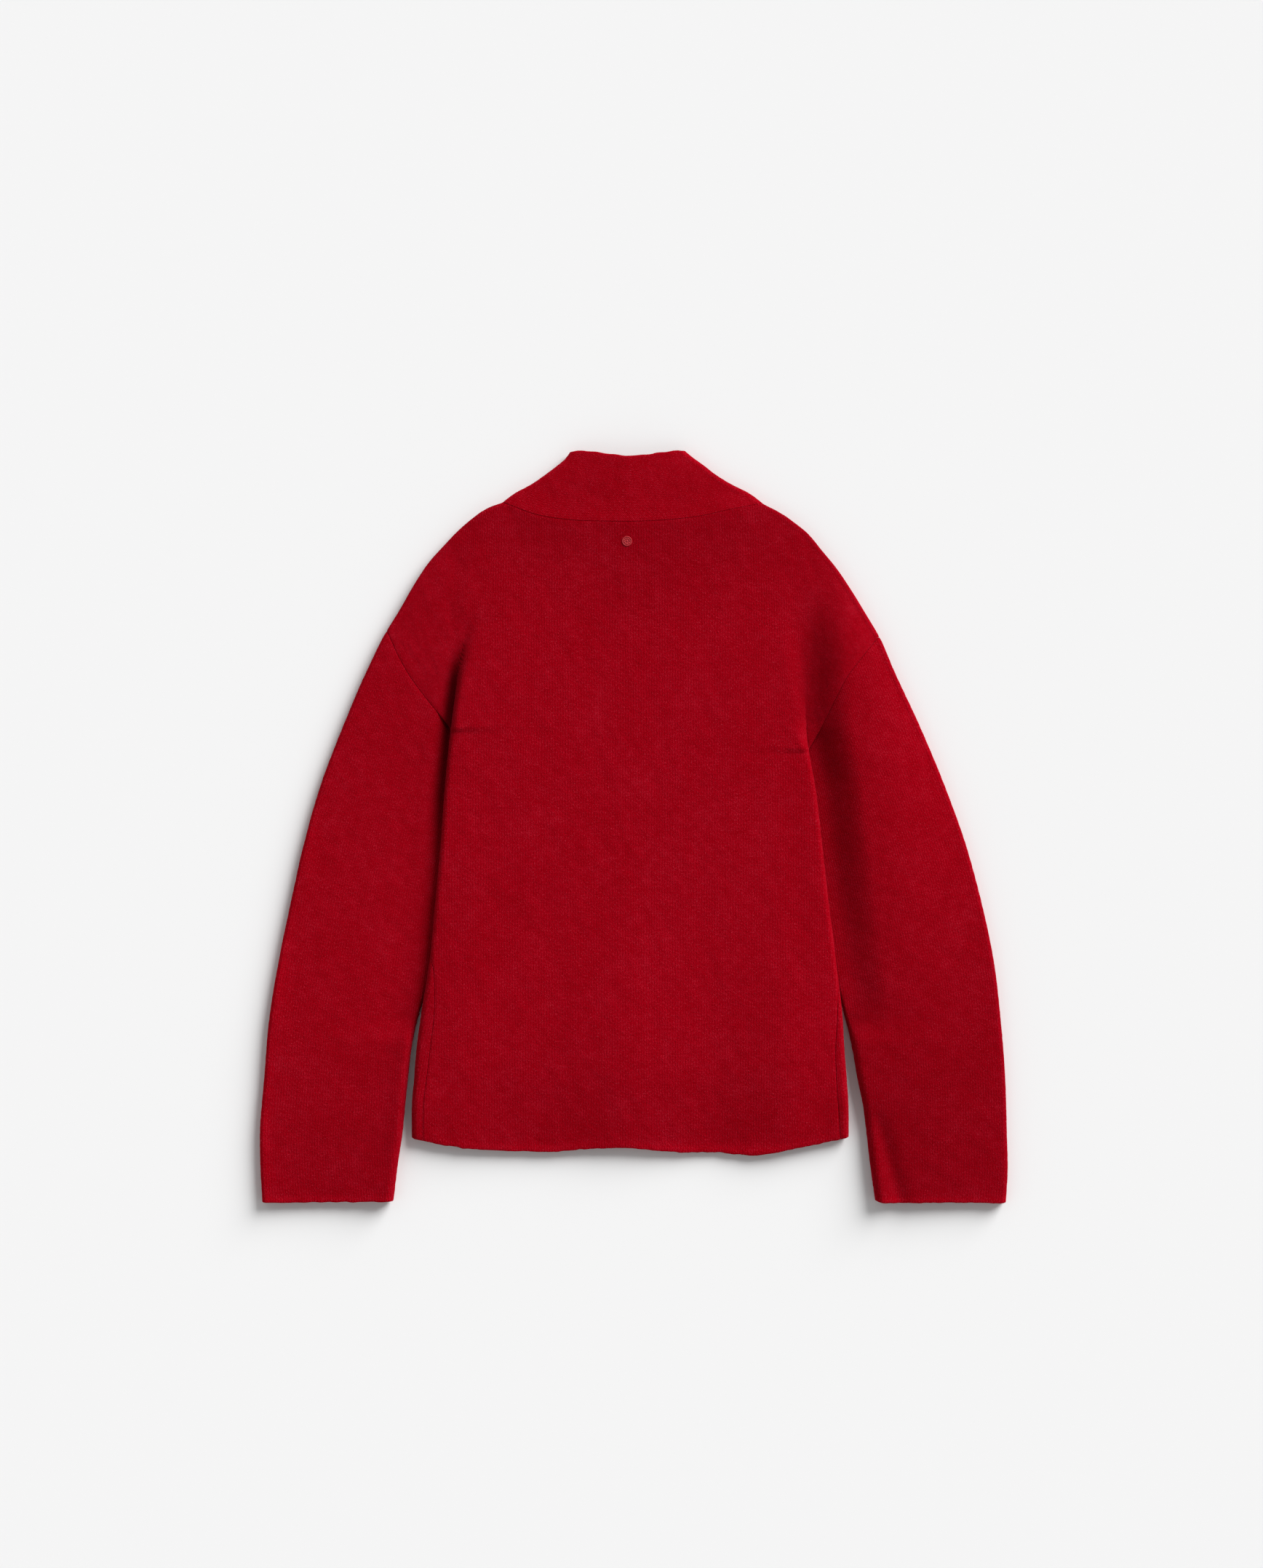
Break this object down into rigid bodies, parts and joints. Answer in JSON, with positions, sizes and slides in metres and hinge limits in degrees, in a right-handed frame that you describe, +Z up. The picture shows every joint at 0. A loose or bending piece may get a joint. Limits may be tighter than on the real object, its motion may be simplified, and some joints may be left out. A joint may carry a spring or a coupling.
{
  "type": "cardigan",
  "caption": "Knitted button cardigan with dropped shoulders and a funnel collar, laid flat with its back up and its sleeves down its sides.",
  "frame": {"origin": "under the middle of the bounding box, on the surface the cardigan lies on", "axes": "+Z up out of the cardigan's back, +Y towards its collar, -X towards the wearer's left sleeve"},
  "size_m": [0.6984, 0.7041, 0.0214],
  "materials": {
    "knit": "thick red wool knit",
    "collar_knit": "the same wool, knitted sideways",
    "button": "dark red, polished",
    "stud": "pinkish red, satin"
  },
  "bodies": {
    "root": {"back": "knit", "front_left": "knit", "front_right": "knit", "sleeve_left": "knit", "sleeve_right": "knit", "collar": "collar_knit", "button_1": "button", "button_2": "button", "button_3": "button", "button_4": "button", "button_5": "button", "button_6": "button", "button_7": "button", "nape_stud": "stud"}
  },
  "joints": []
}
